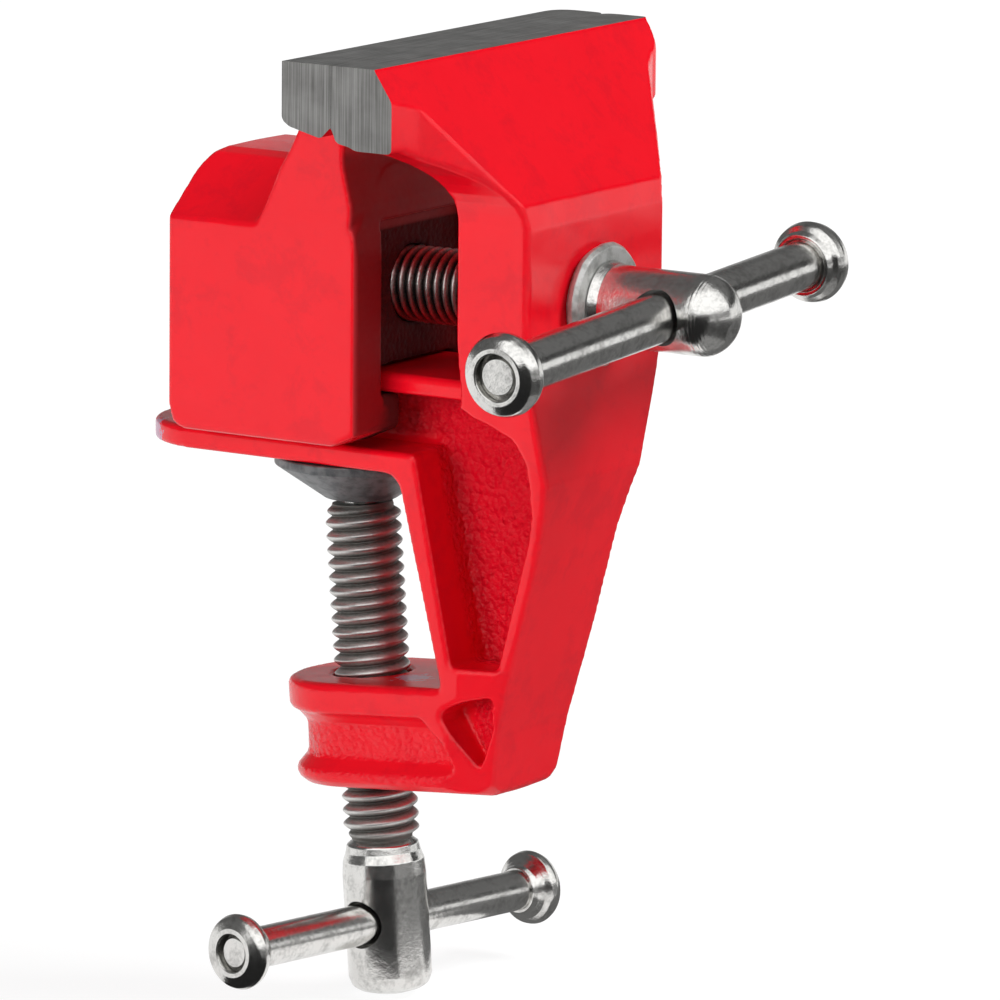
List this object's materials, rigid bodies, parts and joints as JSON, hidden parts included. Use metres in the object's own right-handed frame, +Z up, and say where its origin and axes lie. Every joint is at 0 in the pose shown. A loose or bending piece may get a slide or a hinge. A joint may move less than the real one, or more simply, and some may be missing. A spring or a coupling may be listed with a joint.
{
  "type": "bench vise",
  "caption": "Small clamp-on vise with a fixed and a sliding cast jaw, a lead screw and a clamp screw, each turned by a captive sliding bar.",
  "frame": {"origin": "middle of the seat that rests on the bench top, where the clamp screw's axis meets it", "axes": "+X along the lead screw towards its handle, +Y across the jaws, +Z up from the bench top"},
  "size_m": [0.068, 0.0606, 0.0991],
  "materials": {
    "red_enamel": "glossy enamel on a rough iron casting, ground bare on the jaws' top and near end",
    "plated_steel": "bright zinc or nickel plate, turned",
    "washer_steel": "stamped and plated",
    "spring_steel": "dull spring steel",
    "pad_steel": "dark oxide, satin"
  },
  "bodies": {
    "frame": {"frame": "red_enamel"},
    "moving_jaw": {"moving_jaw": "red_enamel"},
    "lead_screw": {"lead_screw": "plated_steel", "outer_washer": "washer_steel", "inner_washer": "washer_steel", "retaining_clip": "spring_steel"},
    "lead_bar": {"lead_bar": "plated_steel", "lead_bar_cap_near": "plated_steel", "lead_bar_cap_far": "plated_steel"},
    "swivel_pad": {"swivel_pad": "pad_steel"},
    "clamp_screw": {"clamp_screw": "plated_steel"},
    "clamp_bar": {"clamp_bar": "plated_steel", "clamp_bar_cap_near": "plated_steel", "clamp_bar_cap_far": "plated_steel"}
  },
  "joints": [
    {"name": "lead_screw_turn", "type": "hinge", "parent": "frame", "child": "lead_screw", "pos_m": [0.0373, 0, 0.018], "axis": [1, 0, 0], "range_deg": [0, 6806]},
    {"name": "jaw_slide", "type": "slide", "parent": "frame", "child": "moving_jaw", "axis": [-1, 0, 0], "range_m": [0, 0.02]},
    {"name": "lead_bar_slide", "type": "slide", "parent": "lead_screw", "child": "lead_bar", "axis": [0, 0.9978, 0.0663], "range_m": [-0.0195, 0.0245]},
    {"name": "pad_slide", "type": "slide", "parent": "frame", "child": "swivel_pad", "axis": [0.0785, 0, -0.9969], "range_m": [0, 0.0172]},
    {"name": "clamp_screw_turn", "type": "hinge", "parent": "swivel_pad", "child": "clamp_screw", "pos_m": [0, 0, -0.0024], "axis": [0.0785, 0, -0.9969], "range_deg": [0, 4388]},
    {"name": "clamp_bar_slide", "type": "slide", "parent": "clamp_screw", "child": "clamp_bar", "axis": [0.1494, 0.9887, -0.0145], "range_m": [-0.0154, 0.0154]}
  ],
  "couplings": [
    {"joint": "lead_screw_turn", "follows": "jaw_slide", "rad_per_m": 5938.7},
    {"joint": "pad_slide", "follows": "clamp_screw_turn", "m_per_rad": 0.00022457}
  ]
}
